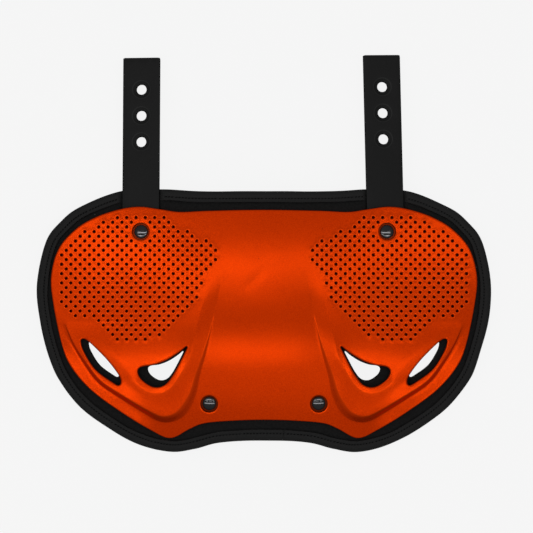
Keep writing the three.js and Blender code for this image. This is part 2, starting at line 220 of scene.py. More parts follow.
def cut_sheet(edges, loops, lines, spacing, rim):
    """A flat solid sheet, filled inside the rim.

    Edges bound it, the outline first, and loops are further closed lines. Both come with their drop below the
    sheet's face and their painted light, which is 1 for a painted highlight on a lip and -1 for painted shade
    in a hollow. Lines are open ones, with a painted light for each point.
    """
    points, links, notes, owner = [], [], [], {}
    for number, (line, drop, painted_light) in enumerate(list(edges) + list(loops)):
        first = len(points)
        points += line
        notes += [(drop, painted_light)] * len(line)
        links += [(first + k, first + (k + 1) % len(line)) for k in range(len(line))]
        if number < len(edges):
            owner.update({first + k: number for k in range(len(line))})
    for line, painted_lights in lines:
        first = len(points)
        points += line
        notes += [(0, painted_light) for painted_light in painted_lights]
        links += [(first + k, first + k + 1) for k in range(len(line) - 1)]
    hollows = [line for line, _, _ in edges[1:]] + [line for line, drop, _ in loops if drop > DEEP_DROP]
    hollows = [line for line in hollows if (line[0] - line[len(line) // 2]).length > spacing]
    fill = fill_points(points, hollows, spacing, rim)
    points += fill
    notes += [(0, 0)] * len(fill)
    corners, _, faces, origin, _, _ = delaunay_2d_cdt(points, links, [], 0, 1e-6)
    bm = bmesh.new()
    dropped = bm.verts.layers.float.new("drop")
    painted_layer = bm.verts.layers.float.new("painted_light")
    made, edge_of = [], []
    for corner, sources in zip(corners, origin):
        vert = bm.verts.new(corner.to_3d())
        vert[dropped], vert[painted_layer] = notes[sources[0]] if sources else (0, 0)
        made.append(vert)
        edge_of.append(owner.get(sources[0]) if sources else None)
    for face in faces:
        owners = {edge_of[k] for k in face}
        if len(owners) > 1 or None in owners:
            bm.faces.new([made[k] for k in face])
    bmesh.ops.delete(bm, geom=[v for v in bm.verts if not v.link_faces], context="VERTS")
    bmesh.ops.recalc_face_normals(bm, faces=bm.faces[:])
    if sum(face.normal.z for face in bm.faces) < 0:
        bmesh.ops.reverse_faces(bm, faces=bm.faces[:])
    bmesh.ops.solidify(bm, geom=bm.faces[:], thickness=1)
    return bm


plain_disc = cut_sheet([(hoop(0, 0, 10, 24), 0, 0)], [], [], 3, hoop(0, 0, 8, 24))
print("a plain disc has", len(plain_disc.faces), "faces on both sides and its edge")
plain_disc.free()


# %% Press a sheet and finish a piece
def press(bm, face_height, back_height):
    """Moves both sides of a flat sheet to their heights."""
    dropped = bm.verts.layers.float["drop"]
    middle = sum(v.co.z for v in bm.verts) / len(bm.verts)
    for v in bm.verts:
        x, y, z = v.co
        v.co.z = face_height(x, y) - v[dropped] if z > middle else back_height(x, y)


def make_piece(bm, name, finish, nodes=(), sharp=40, place=TO_FRAME):
    """Turns a bmesh in millimetres into a finished piece on the frame."""
    bm.transform(place)
    mesh = bpy.data.meshes.new(name)
    bm.to_mesh(mesh)
    bm.free()
    mesh.polygons.foreach_set("use_smooth", [True] * len(mesh.polygons))
    mesh.set_sharp_from_angle(angle=math.radians(sharp))
    mesh.materials.append(finish)
    piece = bpy.data.objects.new(name, mesh)
    bpy.context.scene.collection.objects.link(piece)
    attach(piece, "root")
    if nodes:
        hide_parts(*nodes)
    mesh.calc_loop_triangles()
    print(name, "has", len(mesh.loop_triangles), "triangles")
    return piece


# %% [markdown]
# ## Building finishes from nodes
# Each finish is a small node tree. Two helpers keep that short: one adds a node with its settings and
# inputs, the other starts a material. Effects that several finishes share, such as moulded grain, cloth
# and dust, are node groups that put out heights and masks, while each material keeps its own shader.

# %% Node helpers
def add(tree, kind, inputs=None, **settings):
    """A node with its settings and its inputs, which are values or other nodes' outputs."""
    made = tree.nodes.new(kind)
    for key, value in settings.items():
        setattr(made, key, value)
    for key, value in (inputs or {}).items():
        if isinstance(value, bpy.types.NodeSocket):
            tree.links.new(value, made.inputs[key])
        else:
            made.inputs[key].default_value = value
    return made


def sums(tree, operation, *values):
    """The output of a math node."""
    return add(tree, "ShaderNodeMath", dict(enumerate(values)), operation=operation).outputs[0]


def start_group(name, inputs, outputs):
    """An empty node group with number and vector sockets."""
    tree = bpy.data.node_groups.new(name, "ShaderNodeTree")
    for label, kind in inputs:
        tree.interface.new_socket(name=label, in_out="INPUT", socket_type=kind)
    for label in outputs:
        tree.interface.new_socket(name=label, in_out="OUTPUT", socket_type="NodeSocketFloat")
    return tree, tree.nodes.new("NodeGroupInput").outputs, tree.nodes.new("NodeGroupOutput")


def start_finish(name, settings):
    """A material with settings on its own shader, and its nodes."""
    material = bpy.data.materials.new(name)
    material.use_nodes = True
    tree = material.node_tree
    shader = tree.nodes["Principled BSDF"]
    for key, value in settings.items():
        shader.inputs[key].default_value = value
    return material, tree, shader


def place_group(tree, group, inputs):
    """A node group placed in a finish."""
    return add(tree, "ShaderNodeGroup", inputs, node_tree=group).outputs


def blend_colours(tree, mask, dark, bright):
    """A colour that runs from dark to bright with a mask."""
    made = add(tree, "ShaderNodeMix", {"Factor": mask}, data_type="RGBA")
    made.inputs["A"].default_value = (*dark, 1)
    made.inputs["B"].default_value = (*bright, 1)
    return made.outputs["Result"]


def lay_over(tree, colour, mask, tone):
    """A colour with another tone over it where a mask says."""
    made = add(tree, "ShaderNodeMix", {"Factor": mask, "A": colour}, data_type="RGBA")
    made.inputs["B"].default_value = (*tone, 1)
    return made.outputs["Result"]


def painted_light_masks(tree):
    """Masks of the painted highlight and of the painted shade, from the values that the cutter wrote on the
    mesh.
    """
    painted_light = add(tree, "ShaderNodeAttribute", attribute_name="painted_light").outputs["Fac"]
    painted_shade = sums(tree, "MULTIPLY", painted_light, -1.0)
    return [sums(tree, "MAXIMUM", part, 0.0) for part in (painted_light, painted_shade)]


def between(tree, mask, low, high):
    """A value that runs from low to high with a mask."""
    made = add(tree, "ShaderNodeMapRange", {"Value": mask, "To Min": low, "To Max": high})
    return made.outputs["Result"]


def raise_surface(tree, shader, height, distance, strength=1.0):
    """Bump from a height that runs from 0 to 1."""
    bump = add(tree, "ShaderNodeBump", {"Height": height, "Distance": distance, "Strength": strength})
    tree.links.new(bump.outputs["Normal"], shader.inputs["Normal"])


# %% Groups for grain, cloth and dust
grain_group, grain_in, grain_out = start_group(
    "moulded grain",
    [("Vector", "NodeSocketVector"), ("Grain scale", "NodeSocketFloat"), ("Cloud scale", "NodeSocketFloat")],
    ["Grain", "Clouds"],
)
fine = add(grain_group, "ShaderNodeTexNoise", {"Vector": grain_in[0], "Scale": grain_in[1], "Detail": 3.0})
wide = add(grain_group, "ShaderNodeTexNoise", {"Vector": grain_in[0], "Scale": grain_in[2], "Detail": 4.0})
grain_group.links.new(fine.outputs[0], grain_out.inputs["Grain"])
grain_group.links.new(wide.outputs[0], grain_out.inputs["Clouds"])

cloth_group, cloth_in, cloth_out = start_group(
    "knitted cloth",
    [("Vector", "NodeSocketVector"), ("Rows per metre", "NodeSocketFloat")],
    ["Height", "Fuzz"],
)
scaled = add(cloth_group, "ShaderNodeVectorMath", {0: cloth_in[0], "Scale": cloth_in[1]}, operation="SCALE")
axes = add(cloth_group, "ShaderNodeSeparateXYZ", {0: scaled.outputs[0]})
COLUMN_SWING = 0.22
SPECK_SIZE = 0.16
row_wave = sums(cloth_group, "SINE", sums(cloth_group, "MULTIPLY", axes.outputs[1], math.tau))
shifted = sums(cloth_group, "ADD", axes.outputs[0], sums(cloth_group, "MULTIPLY", row_wave, COLUMN_SWING))
column_wave = sums(cloth_group, "SINE", sums(cloth_group, "MULTIPLY", shifted, math.tau))
both = sums(cloth_group, "MULTIPLY", sums(cloth_group, "ADD", column_wave, row_wave), 0.25)
fuzz = add(cloth_group, "ShaderNodeTexNoise", {"Vector": scaled.outputs[0], "Scale": 0.9, "Detail": 5.0})
cloth_group.links.new(sums(cloth_group, "ADD", both, 0.5), cloth_out.inputs["Height"])
cloth_group.links.new(fuzz.outputs[0], cloth_out.inputs["Fuzz"])

dust_group, dust_in, dust_out = start_group(
    "settled dust",
    [("Vector", "NodeSocketVector"), ("Specks per metre", "NodeSocketFloat"), ("Share", "NodeSocketFloat")],
    ["Specks"],
)
cells = add(dust_group, "ShaderNodeTexVoronoi", {"Vector": dust_in[0], "Scale": dust_in[1]})
chance = add(dust_group, "ShaderNodeSeparateColor", {0: cells.outputs["Color"]})
chosen = sums(dust_group, "LESS_THAN", chance.outputs[0], dust_in[2])
close_by = sums(dust_group, "LESS_THAN", cells.outputs["Distance"], SPECK_SIZE)
dust_group.links.new(sums(dust_group, "MULTIPLY", chosen, close_by), dust_out.inputs["Specks"])
print("node groups:", [group.name for group in bpy.data.node_groups])

# %% [markdown]
# ## The vents and the perforations
# Four eye-shaped vents and two fields of small holes let air through. A moulded hole has no knife edge: its
# lip is rounded and a low collar stands round it, which shows as a bright ring, partly from its slope and
# partly from a painted highlight. Each opening is therefore a few rings of points, and each ring says how far
# it lies below the face and how much painted highlight or painted shade it gets.

# %% Openings of the shell
OUTER_VENT = (
    (-131.6, -12.2), (-127, -14.3), (-114.2, -26.8), (-105.3, -38.4), (-103.7, -43.6), (-105.2, -45.8),
    (-109.2, -44), (-122, -34.5), (-130.3, -21.8), (-132.7, -14.6),
)
INNER_VENT = (
    (-59, -25.4), (-66.2, -38.6), (-72.6, -45.8), (-80.5, -46.8), (-88.6, -41.6), (-91.4, -35.8),
    (-88.6, -32.4), (-79.5, -30.9), (-70, -27.2), (-61.6, -21.9), (-55.4, -17.3),
)
# Rings from the cut outwards: distance or radius, drop below the face, and painted light: above 0 a painted
# highlight on a lip or collar, below 0 painted shade in a hollow or recess.
VENT_LIP = ((0, 0.8, -0.6), (0.3, 0.25, 0.2), (0.8, 0, 0.5), (1.3, 0, 0))
SCREWS = {
    "screw_upper_left": (-89.3, 65.6), "screw_upper_right": (89.3, 65.6),
    "screw_lower_left": (-39.7, -59.3), "screw_lower_right": (39.7, -59.3),
}
GAP = 0.3
SHELL_THICKNESS = 3
BORE = 2.8
RECESS_DROP = 2.2
RECESS_RINGS = (
    (6.1, RECESS_DROP, -1), (6.15, 1, -1), (6.3, 0.4, -0.6), (6.4, 0.2, 0.5), (6.6, 0.13, 1), (7, 0.02, 1),
    (7.2, 0, 0.3), (7.6, 0, 0),
)
HOLE_RINGS = ((0.4, 1.4, -0.8), (1.08, 0.5, -0.75), (1.25, 0.04, 0.5), (1.75, -0.05, 1), (2.25, 0, 0))
HOLE_SIDES = 10
HALF_PITCH = 3.39
CLEAR_OF_SCREW = 2.5
# Border of a perforated field in half pitches across and down from its screw.
FIELD_BORDER = (
    (-5.4, -3.4), (-14.3, 1), (-17.5, 5), (-17.5, 15.2), (-14.5, 18.4), (-9.8, 18.6), (-5, 23.4), (1.8, 23.4),
    (4.8, 22), (12.6, 14), (13.5, 10), (16.3, 6), (16.8, 3.57), (4.6, -3.4),
)
FIELD_REACH = range(-24, 25)


def vent_lines():
    """The four vents of the shell as clockwise lines, the left ones first."""
    lefts = [even_line(smooth_line(rows, 12), 1.2) for rows in (OUTER_VENT, INNER_VENT)]
    rights = [[Vector((-p.x, p.y)) for p in reversed(line)] for line in lefts]
    return lefts + rights


def hole_centres():
    """Centres of the perforations of both fields."""
    border = [Vector(row) for row in FIELD_BORDER]
    x, y = SCREWS["screw_upper_left"]
    lefts = [
        (x + across * HALF_PITCH, y - down * HALF_PITCH)
        for down in FIELD_REACH
        for across in FIELD_REACH
        if (across + down) % 2 == 0
        and math.hypot(across, down) > CLEAR_OF_SCREW
        and is_inside(border, across, down)
    ]
    return lefts + [(-x, y) for x, y in lefts]


vents = vent_lines()
holes = hole_centres()
print(len(vents), "vents and", len(holes), "perforations")

# %% [markdown]
# ## The shell's relief
# The shell isn't a plain curved sheet. Each wing is pressed out into a V-shaped plateau with a steep wall
# round its tip, a slanting shoulder towards the middle, a soft brow over the outer vent and a shallow dish
# round the inner one. These are slopes of a few degrees, and on a satin surface it is the slope that one
# sees. So they are written as heights over the flat drawing, and not sculpted by hand.

# %% Lines of a wing
# Edge of the left wing's plateau, from its outer end round the tip to its inner end: its place, how far it
# stands over the plate, and how wide its wall is.
WING_EDGE = (
    (-145.3, 1.5, 0, 0.5), (-138.7, -14, 1.2, 0.9), (-130, -28, 2.3, 1.5), (-119, -42.2, 3.1, 1.9),
    (-104, -52.4, 3.7, 2.4), (-85, -63.4, 4.3, 3.3), (-74, -68.2, 4.6, 4.3), (-65.2, -66.4, 4.5, 5.3),
    (-59.3, -60.6, 3.8, 5.8), (-53.7, -50.9, 2.9, 4.6), (-49.7, -38, 1.9, 3.4), (-44.8, -24.4, 1.1, 2.2),
    (-40.8, -12.3, 0.6, 1.2), (-37.6, 0, 0.25, 0.7), (-34.8, 11.6, 0, 0.5), (-32, 26, 0, 0.5),
    (-29.5, 42, 0, 0.5), (-26, 68, 0, 0.5),
)
WING_TIP = 6
WING_STEPS = 10
DISH = {"slope": 0.09, "width": 4.4, "x": (-100, -45), "y": (-60, -5), "top": (-1, 7), "inner": (-68, -57)}
DISH_LESS = 0.6
# The crease round the inner vent starts as a brow over the outer vent, runs below the inner one at the dish's
# width and rises beside the shoulder.
CREASE_BROW = ((-150, 5), (-143.6, 0.7), (-128.4, -8.7), (-113, -19.5), (-103, -30.5), (-96, -39.5))
CREASE_RISE = ((-49.3, -5.8), (-45.6, 8.7), (-43.6, 20), (-46, 32), (-54, 46), (-64, 58), (-74, 70))
CREASE_BELOW = 3
# Upper edge of the left inner vent, as a straight line.
VENT_TOP = {"x": -91.4, "y": -35.8, "slope": 0.515}

wing_rows = smooth_line([Vector(row) for row in WING_EDGE], WING_STEPS, closed=False)
wing_tip = WING_TIP * WING_STEPS
outer_rows, inner_rows = wing_rows[: wing_tip + 1], wing_rows[wing_tip:]


def finder(rows):
    """A search tree over the places of a line."""
    tree = kdtree.KDTree(len(rows))
    for index, row in enumerate(rows):
        tree.insert((row[0], row[1], 0), index)
    tree.balance()
    return tree


def below_brow(x, y):
    """How far a place lies below the upper edge of the left inner vent."""
    return VENT_TOP["y"] + (x - VENT_TOP["x"]) * VENT_TOP["slope"] - y


def crease_line():
    """The crease of the left wing from its outer end to its inner end."""
    ring = inset(vents[1], -DISH["width"])
    top = min(range(len(ring)), key=lambda k: below_brow(*ring[k]))
    below = [p for p in ring[top:] + ring[:top] if below_brow(*p) > CREASE_BELOW]
    rows = list(CREASE_BROW) + below[::-5] + list(CREASE_RISE)
    return smooth_line(rows, 8, closed=False)


wing_finder = finder(wing_rows)
crease_rows = crease_line()
crease_finder = finder(crease_rows)
print("rows along a wing:", len(wing_rows), "at its edge and", len(crease_rows), "at its crease")


# %% Height of a wing's plateau
# Levels half a millimetre apart, at which the plateau's outer and inner edges are looked up.
LEVELS = range(-200, 60)


def nearest_on(rows, found, x, y):
    """Distance to an open line, positive on its left, and the line's own values there."""
    index = found.find((x, y, 0))[1]
    best = None
    for k in (index - 1, index):
        if 0 <= k < len(rows) - 1:
            a, b = rows[k], rows[k + 1]
            along = Vector((b[0] - a[0], b[1] - a[1]))
            offset = Vector((x - a[0], y - a[1]))
            part = min(max(offset.dot(along) / along.length_squared, 0), 1)
            gap = offset - along * part
            if best is None or gap.length < abs(best[0]):
                side = 1 if along.x * offset.y - along.y * offset.x > 0 else -1
                best = (side * gap.length, a.lerp(b, part))
    return best


def at_height(rows, y):
    """The row of a falling line at some height."""
    for a, b in zip(rows, rows[1:]):
        if (a[1] - y) * (b[1] - y) <= 0 and a[1] != b[1]:
            return a.lerp(b, (y - a[1]) / (b[1] - a[1]))
    return min(rows, key=lambda row: abs(row[1] - y))


outer_at = {step: at_height(outer_rows, step / 2) for step in LEVELS}
inner_at = {step: at_height(inner_rows[::-1], step / 2) for step in LEVELS}


def plateau(x, y):
    """Height of the wing's plateau over the plate, without its walls."""
    step = min(max(math.floor(2 * y), LEVELS[0]), LEVELS[-2])
    part = min(max(2 * y - step, 0), 1)
    outer = outer_at[step].lerp(outer_at[step + 1], part)
    inner = inner_at[step].lerp(inner_at[step + 1], part)
    across = min(max((x - outer[0]) / max(inner[0] - outer[0], 1), 0), 1)
    return outer[2] + (inner[2] - outer[2]) * across


print("plateau in mm:", [round(plateau(-60, y), 2) for y in (0, -20, -40, -60)])

# %% Relief, turned-up rim and dish
# Each pair says where a slope starts and where it is full.
RELIEF_TOP = 68
RELIEF_INNER = -20
LEAST_RUN = 0.3
RIDGE_ROUND = 0.25
FOOT_ROUND = 0.35
CREASE_ROUND = 0.3
CREASE_SOFTER = {"by": 9, "up": (8, 36)}
SHOULDER = {"rise": 1.5, "tip": (-62, -34), "outer": (52, 104), "low": -14, "top": 66, "round": 10}
BROW = {"slope": 0.045, "round": 2, "inside": (0, 10), "down": (-4, 12), "outer": (66, 104)}
FLARE = {"slope": 0.122, "round": 0.4, "start": (-66, 0), "down": (2, 20), "outer": (74, 94)}
FLARE_MORE = {"by": 0.3, "down": (35, 60)}


def shoulder(x, y, depth, within):
    """Height of the slanting shoulder between the wing's inner ridge and the crease."""
    up = ramp(SHOULDER["top"] - y, SHOULDER["round"]) - ramp(SHOULDER["low"] - y, SHOULDER["round"])
    strength = ease(y, *SHOULDER["tip"]) * (1 - ease(-x, *SHOULDER["outer"])) * up
    strength /= SHOULDER["top"] - SHOULDER["low"]
    past = ramp(-within, CREASE_ROUND + CREASE_SOFTER["by"] * ease(y, *CREASE_SOFTER["up"]))
    return SHOULDER["rise"] * strength * depth / (depth + past + 1e-6)


@functools.cache
def relief(x, y):
    """Height of the shell's relief over the plain curved sheet."""
    x = -abs(x)
    if y > RELIEF_TOP or x > RELIEF_INNER:
        return 0
    depth, edge = nearest_on(wing_rows, wing_finder, x, y)
    reach = -depth
    lift, run = edge[2], max(edge[3], LEAST_RUN)
    wall = (ramp(reach, RIDGE_ROUND) - ramp(reach - run, FOOT_ROUND)) / run
    if depth <= 0:
        return lift * (1 - min(wall, 1))
    height = plateau(x, y)
    within = nearest_on(crease_rows, crease_finder, x, y)[0]
    height += shoulder(x, y, depth, within)
    brow = ease(depth, *BROW["inside"]) * ease(-y, *BROW["down"]) * ease(-x, *BROW["outer"])
    height -= BROW["slope"] * ramp(-within, BROW["round"]) * brow
    return height * (1 - min(wall, 1)) if reach > -RIDGE_ROUND else height


def flare(x, y):
    """The turned-up rim below the wing's outer wall."""
    x = -abs(x)
    if x > FLARE["start"][0] or y > FLARE["start"][1]:
        return 0
    depth, edge = nearest_on(wing_rows, wing_finder, x, y)
    share = ease(-y, *FLARE["down"]) * ease(-x, *FLARE["outer"])
    share *= 1 + FLARE_MORE["by"] * ease(-y, *FLARE_MORE["down"])
    return FLARE["slope"] * ramp(-depth - edge[3], FLARE["round"]) * share


inner_vent_points = finder(vents[1])


def dish(x, y):
    """The shallow dish below and beside the inner vent."""
    x = -abs(x)
    if not (DISH["x"][0] < x < DISH["x"][1] and DISH["y"][0] < y < DISH["y"][1]):
        return 0
    gap = inner_vent_points.find((x, y, 0))[2]
    share = ease(below_brow(x, y), *DISH["top"]) * (1 - DISH_LESS * ease(x, *DISH["inner"]))
    return -DISH["slope"] * ramp(DISH["width"] - gap, CREASE_ROUND) * share


print("relief of a wing in mm:", [round(relief(-60, y), 2) for y in (0, -20, -40, -60)])

# %% Rings and lines of the shell
# Rings in from the shell's outline: distance, drop and painted light, with painted shade on the cut edge and
# a painted highlight on the rounded rim.
SHELL_RIM = ((0, 1.3, -0.5), (0.15, 0.5, 0), (0.4, 0.08, 0.7), (0.75, 0, 0.5), (1.4, 0, 0))
BORE_SIDES = 24
ROUND_SIDES = 40
edges, loops = [], []
for distance, drop, painted_light in SHELL_RIM:
    (loops if distance else edges).append((inset(shell_outline, distance), drop, painted_light))
for vent in vents:
    for distance, drop, painted_light in VENT_LIP:
        (loops if distance else edges).append((inset(vent, -distance), drop, painted_light))
for x, y in SCREWS.values():
    edges.append((hoop(x, y, BORE, BORE_SIDES), RECESS_DROP, -1))
    loops += [(hoop(x, y, radius, ROUND_SIDES), drop, painted_light) for radius, drop, painted_light in RECESS_RINGS]
for x, y in holes:
    for ring, (radius, drop, painted_light) in enumerate(HOLE_RINGS):
        (loops if ring else edges).append((hoop(x, y, radius, HOLE_SIDES), drop, painted_light))
# Lines along a wing's wall: the share of the wall's width, a distance more, and the painted light, a painted
# highlight along the ridge.
WALL_LINES = (
    (0, -0.7, 0), (0, -0.25, 1), (0, 0.25, 1), (0.5, 0, 0), (1, -0.35, 0), (1, 0.1, 0), (1, 0.6, 0),
)
WALL = {"ends": 4, "spacing": 1.6, "full_run": 1.5, "full_lift": 0.3}
# The crease lines get a faint painted highlight on the shell's colour.
CREASE = {"beside": (-0.35, 0, 0.35), "spacing": 1.4, "outer": -138, "top": 16, "painted_light": 0.5, "down": (2, 10)}


def beside(rows, i, distance):
    """A place beside an open line, on its left."""
    before, after = rows[max(i - 1, 0)], rows[min(i + 1, len(rows) - 1)]
    away = Vector((before[1] - after[1], after[0] - before[0])).normalized()
    return Vector((rows[i][0], rows[i][1])) + away * distance


def both_sides(line, painted_lights):
    """A line of the left wing and its mirror image."""
    return [(line, painted_lights), ([Vector((-p.x, p.y)) for p in line], painted_lights)]


def wing_lines():
    """Lines along the ridge and the foot of both wings' walls."""
    rows = even_line(wing_rows[WALL["ends"] : -WALL["ends"]], WALL["spacing"], closed=False)
    steep = [min(row[3] / WALL["full_run"], 1) for row in rows]
    made = []
    for share, extra, painted_light in WALL_LINES:
        line = [beside(rows, i, -row[3] * share - extra * steep[i]) for i, row in enumerate(rows)]
        made += both_sides(line, [painted_light * min(row[2] / WALL["full_lift"], 1) for row in rows])
    return made


def crease_lines():
    """Lines along both wings' creases."""
    rows = even_line(crease_rows, CREASE["spacing"], closed=False)
    rows = [row for row in rows if row.x > CREASE["outer"] and row.y < CREASE["top"]]
    painted_lights = [CREASE["painted_light"] * ease(below_brow(*row), *CREASE["down"]) for row in rows]
    made = []
    for distance in CREASE["beside"]:
        made += both_sides([beside(rows, i, distance) for i in range(len(rows))], painted_lights)
    return made


print("shell:", len(edges), "edges and", len(loops), "rings")

# %% Cut and press the shell
SHELL_SPACING = 2.2
SHELL_FILL_INSET = 1.6
WAVE = {"height": 0.05, "across": 35, "up": 22, "slice": 3}
DENT = {"start": Vector((-12, 25)), "way": Vector((0.68, 0.733)), "depth": 0.08, "width": 3}
DENT_ENDS = ((-6, 6), (22, 36))


def shell_face(x, y):
    """Height of the shell's face, with faint waves and one faint dent."""
    wave = noise.noise((x / WAVE["across"], y / WAVE["up"], WAVE["slice"])) * WAVE["height"]
    along = (Vector((x, y)) - DENT["start"]).dot(DENT["way"])
    aside = (Vector((x, y)) - DENT["start"]).cross(DENT["way"])
    dent = DENT["depth"] * math.exp(-(aside / DENT["width"]) ** 2) * ease(along, *DENT_ENDS[0])
    dent *= 1 - ease(along, *DENT_ENDS[1])
    return seat(x, y) + GAP + SHELL_THICKNESS + relief(x, y) + flare(x, y) + dish(x, y) + wave - dent


def shell_back(x, y):
    """Height of the shell's plain inner side."""
    return seat(x, y) + GAP + max(relief(x, y), 0)


shell_rim = inset(shell_outline, SHELL_FILL_INSET)
shell_mesh = cut_sheet(edges, loops, wing_lines() + crease_lines(), SHELL_SPACING, shell_rim)
press(shell_mesh, shell_face, shell_back)
print("shell:", len(shell_mesh.verts), "points")

# %% Satin orange plastic
shell_finish, tree, shader = start_finish(
    "satin_orange_plastic",
    {"Metallic": 0.55, "Specular IOR Level": 0.25, "Specular Tint": (1, 0.35, 0.1, 1)},
)
coords = add(tree, "ShaderNodeTexCoord").outputs["Object"]
grain = place_group(tree, grain_group, {"Vector": coords, "Grain scale": 1400.0, "Cloud scale": 22.0})
dust = place_group(tree, dust_group, {"Vector": coords, "Specks per metre": 260.0, "Share": 0.012})
sharp_grain = between(tree, grain["Grain"], -3, 4)
speckle = sums(tree, "MULTIPLY", sums(tree, "ADD", grain["Clouds"], sharp_grain), 0.5)
colour = blend_colours(tree, speckle, (0.74, 0.038, 0.0), (0.94, 0.056, 0.0))
# A brighter orange on lips, collars, ridges, creases and the rim is a painted highlight, and a dark brown in
# the holes, on the vent edges and in the screw recesses is painted shade.
painted_highlight, painted_shade = painted_light_masks(tree)
colour = lay_over(tree, colour, sums(tree, "MULTIPLY", dust["Specks"], 0.6), (0.3, 0.02, 0.002))
colour = lay_over(tree, colour, sums(tree, "MULTIPLY", painted_highlight, 0.9), (1.0, 0.064, 0.001))
colour = lay_over(tree, colour, sums(tree, "MULTIPLY", painted_shade, 0.9), (0.1, 0.012, 0.003))
tree.links.new(colour, shader.inputs["Base Color"])
tree.links.new(between(tree, grain["Grain"], 0.16, 0.21), shader.inputs["Roughness"])
raise_surface(tree, shader, grain["Grain"], 0.00002, 0.5)
make_piece(shell_mesh, "moulded_shell", shell_finish, ["shell"], 50)

# %% [markdown]
# ## The straps
# Two flat straps of soft plastic run up from under the shell. They are bolted by the upper screws and have
# three holes each, with a shallow round dish where a washer lies. They are cut and pressed like the shell,
# but in their own flat place: straight up from the screw, since nothing bends them here. They come before
# the pad, because the pad has to know where they press into it.

# %% Straps
STRAPS = {
    "strap_left": {"screw": "screw_upper_left", "shift": -0.3, "lean": 0.1, "rise": -1},
    "strap_right": {"screw": "screw_upper_right", "shift": -0.9, "lean": 0.95, "rise": 1},
}
STRAP_WIDTH = 27
STRAP_TOP = 128
STRAP_TAIL = 13
STRAP_FRONT = -0.5
STRAP_BACK = -3.1
# The rims and hole rings of a strap carry painted light: a painted highlight on the edges and lips, painted
# shade on the cut edges and in the dish.
STRAP_RIM = ((0, 0.45, 0), (0.2, 0.12, 0.5), (0.6, 0, 0))
STRAP_HOLE_Y = (66.5, 85.6, 104.7)
STRAP_HOLE_RINGS = (
    (3.65, 0.95, -0.5), (3.85, 0.62, 0), (4.3, 0.5, -0.4), (5.5, 0.46, -0.5), (6.1, 0.28, 0.2),
    (6.5, 0.05, 1), (7, 0, 0),
)
CORNER_CUT = 0.5
STRAP_EDGE_SPACING = 1.5
SOFT_SPACING = 3.5
STRAP_FILL_INSET = 1


def strap_place(strap):
    """Where a strap's own flat drawing lies: at its screw, turned by its lean."""
    x, y = SCREWS[strap["screw"]]
    return on_seat(x, y, strap["lean"])


def cut_strap(strap):
    """A strap with its holes, in its own flat place."""
    left, right = strap["shift"] - STRAP_WIDTH / 2, strap["shift"] + STRAP_WIDTH / 2
    top, bottom, cut = STRAP_TOP + strap["rise"], -STRAP_TAIL, CORNER_CUT
    corners = [
        (left, top - cut), (left + cut, top), (right - cut, top), (right, top - cut),
        (right, bottom + cut), (right - cut, bottom), (left + cut, bottom), (left, bottom + cut),
    ]
    outline = even_line([Vector(corner) for corner in corners], STRAP_EDGE_SPACING)
    edges, loops = [], []
    for distance, drop, painted_light in STRAP_RIM:
        (loops if distance else edges).append((inset(outline, distance), drop, painted_light))
    for along in STRAP_HOLE_Y:
        for ring, (radius, drop, painted_light) in enumerate(STRAP_HOLE_RINGS):
            circle = hoop(strap["shift"], along + strap["rise"], radius, ROUND_SIDES)
            (loops if ring else edges).append((circle, drop, painted_light))
    edges.append((hoop(0, 0, BORE, BORE_SIDES), 0, 0))
    bm = cut_sheet(edges, loops, [], SOFT_SPACING, inset(outline, STRAP_FILL_INSET))
    press(bm, lambda x, y: STRAP_FRONT, lambda x, y: STRAP_BACK)
    return bm


# %% Soft black plastic
strap_finish, tree, shader = start_finish("soft_black_plastic", {"Specular IOR Level": 0.22})
coords = add(tree, "ShaderNodeTexCoord").outputs["Object"]
grain = place_group(tree, grain_group, {"Vector": coords, "Grain scale": 900.0, "Cloud scale": 30.0})
dust = place_group(tree, dust_group, {"Vector": coords, "Specks per metre": 300.0, "Share": 0.02})
colour = blend_colours(tree, grain["Clouds"], (0.005, 0.005, 0.005), (0.011, 0.011, 0.011))
# A lighter tone on the edges and lips is a painted highlight, and a darker tone in the dishes and on the hole
# edges is painted shade.
painted_highlight, painted_shade = painted_light_masks(tree)
colour = lay_over(tree, colour, dust["Specks"], (0.05, 0.05, 0.05))
colour = lay_over(tree, colour, painted_highlight, (0.03, 0.03, 0.03))
colour = lay_over(tree, colour, painted_shade, (0.001, 0.001, 0.001))
tree.links.new(colour, shader.inputs["Base Color"])
tree.links.new(between(tree, grain["Grain"], 0.42, 0.58), shader.inputs["Roughness"])
raise_surface(tree, shader, grain["Grain"], 0.00008, 0.6)
for node, strap in STRAPS.items():
    place = TO_FRAME @ strap_place(strap)
    name = node.replace("strap", "soft_strap")
    make_piece(cut_strap(strap), name, strap_finish, [node], 45, place)

# %% [markdown]
# ## The foam pad
# The pad is closed-cell foam with a knitted face, cut with a die and held flat under the stiff shell, so it
# neither sags nor billows. A cloth simulation would swell it away from the shell. It is cut as a sheet
# instead, and its face sinks a little towards the sewn edge and under the straps, as soft foam does.

# %% Where the straps press
OPEN_ROOM = 99.0
STRAPS_FROM = 45
STRAP_CLEAR = {"side": 0.5, "under": 0.35, "slope": 1.4, "round": 0.6}
strap_places = [(strap, strap_place(strap), strap_place(strap).inverted()) for strap in STRAPS.values()]


def strap_limit(x, y):
    """The height that the straps leave for the pad and its tape."""
    room = OPEN_ROOM
    if y < STRAPS_FROM:
        return room
    for strap, place, back in strap_places:
        local = back @ Vector((x, y, seat(x, y)))
        aside = abs(local.x - strap["shift"]) - STRAP_WIDTH / 2 - STRAP_CLEAR["side"]
        below = -STRAP_TAIL - STRAP_CLEAR["side"] - local.y
        under = place @ Vector((local.x, local.y, STRAP_BACK - STRAP_CLEAR["under"]))
        beyond = STRAP_CLEAR["slope"] * ramp(max(aside, below), STRAP_CLEAR["round"])
        room = min(room, under.z - seat(x, y) + beyond)
    return room


